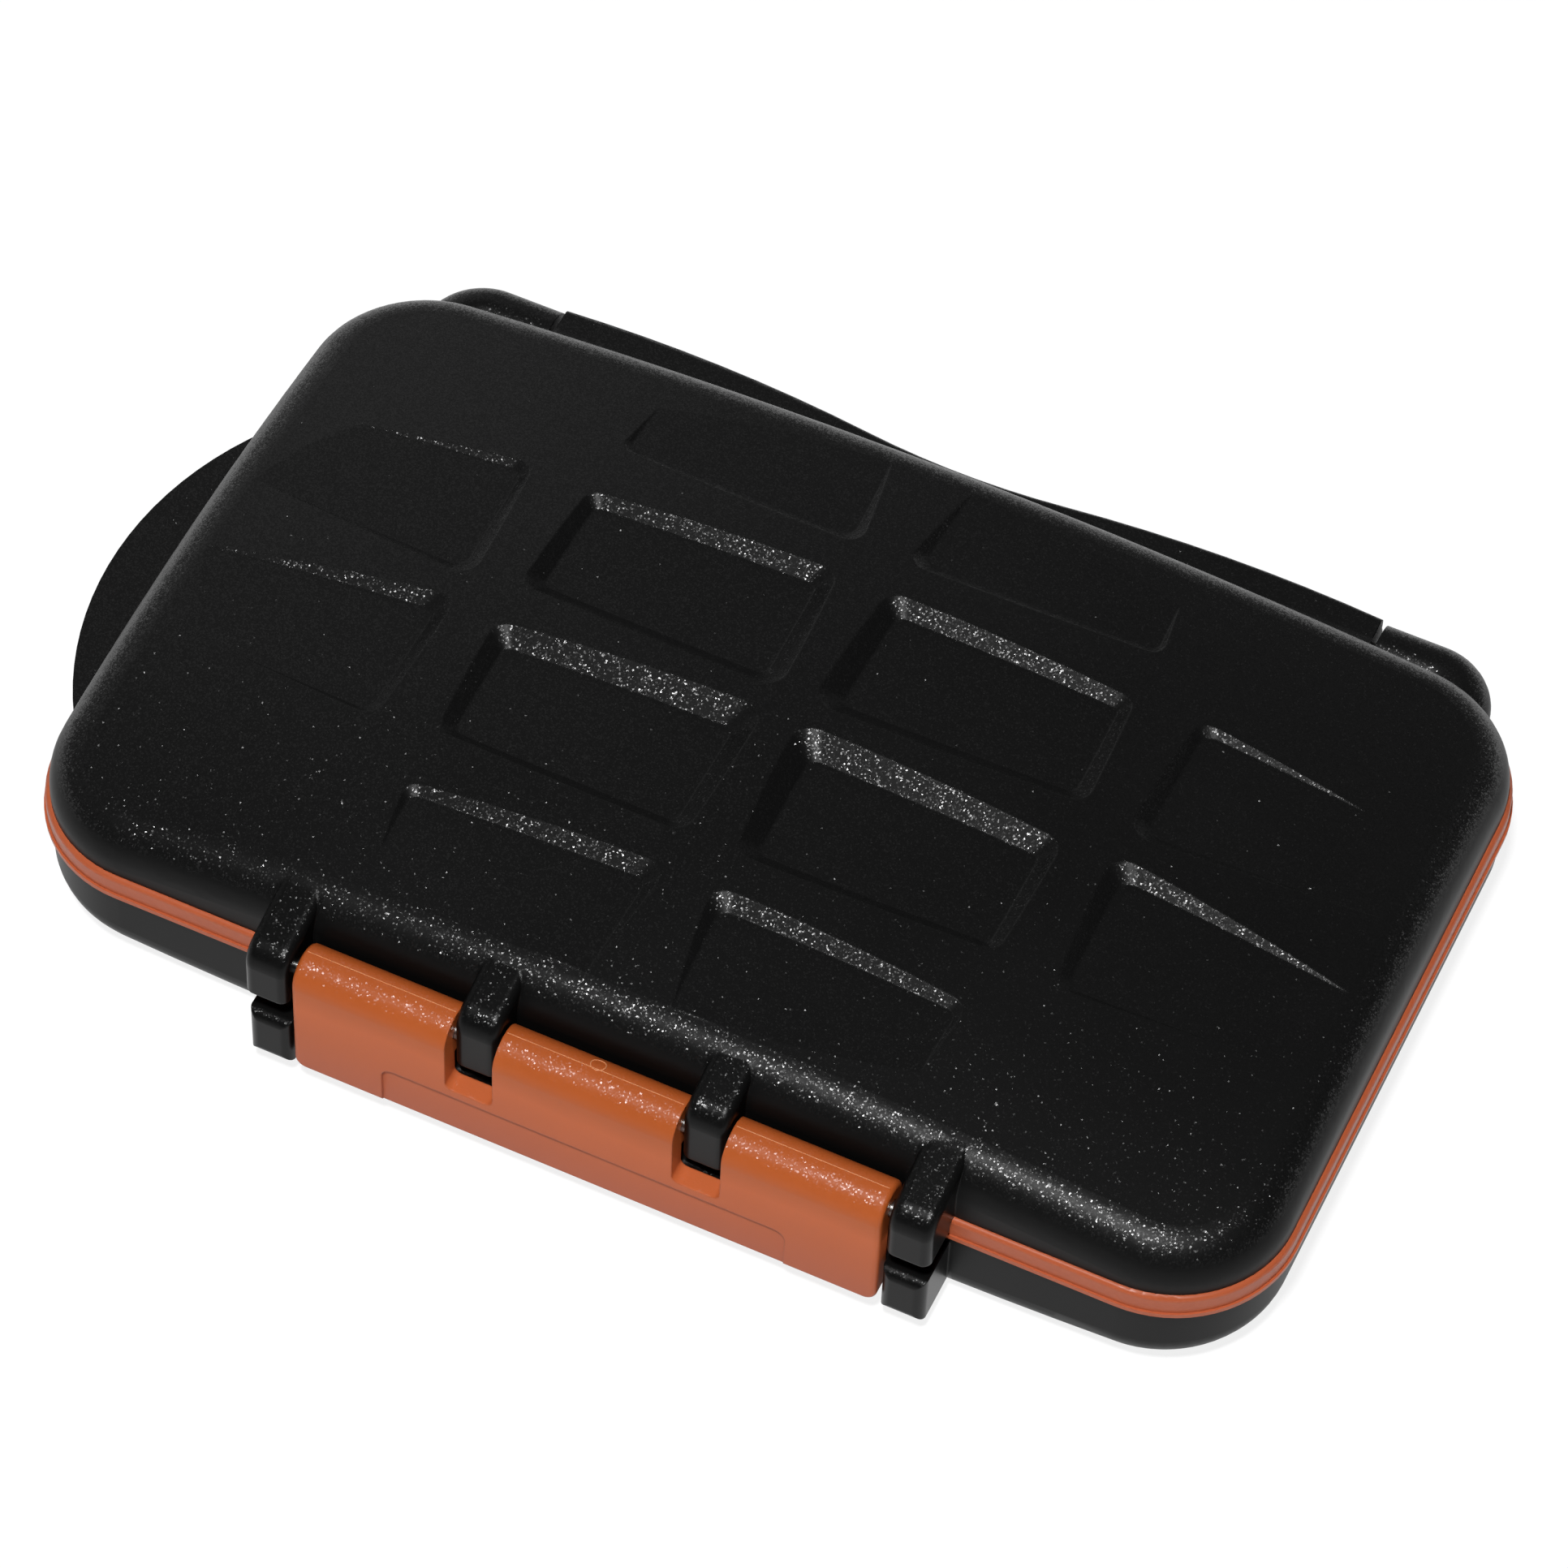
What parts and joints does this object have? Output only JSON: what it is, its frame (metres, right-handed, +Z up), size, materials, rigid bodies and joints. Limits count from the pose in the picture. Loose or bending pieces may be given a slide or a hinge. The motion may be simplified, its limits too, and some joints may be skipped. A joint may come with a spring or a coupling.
{
  "type": "memory card case",
  "caption": "Low rounded card case: crowned lid with sloped recesses, rear hinge, front flap latch, seal ring between the halves and pocketed trays for flat memory cards.",
  "frame": {"origin": "middle of the base's flat underside, below the middle of the shell's outline", "axes": "+X along the length, to the right as seen from the latch; +Y to the rear hinge; +Z up"},
  "size_m": [0.1287, 0.0833, 0.0231],
  "materials": {
    "shell": "spark-grained moulded ABS",
    "seal": "smooth orange elastomer",
    "latch": "fine-grained orange moulded plastic",
    "pin": "ground",
    "tray": "matt black elastomer"
  },
  "bodies": {
    "base": {"base_shell": "shell", "seal_ring": "seal", "hinge_pin_left": "pin", "hinge_pin_right": "pin", "base_card_tray": "tray"},
    "lid": {"lid_shell": "shell", "lid_card_tray": "tray", "latch_pin": "pin"},
    "latch": {"latch": "latch"}
  },
  "joints": [
    {"name": "lid_hinge", "type": "hinge", "parent": "base", "child": "lid", "pos_m": [0, 0.0393, 0.01], "axis": [-1, 0, 0], "range_deg": [0, 165]},
    {"name": "latch_hinge", "type": "hinge", "parent": "lid", "child": "latch", "pos_m": [0, -0.0386, 0.01465], "axis": [-1, 0, 0], "range_deg": [0, 150]}
  ]
}
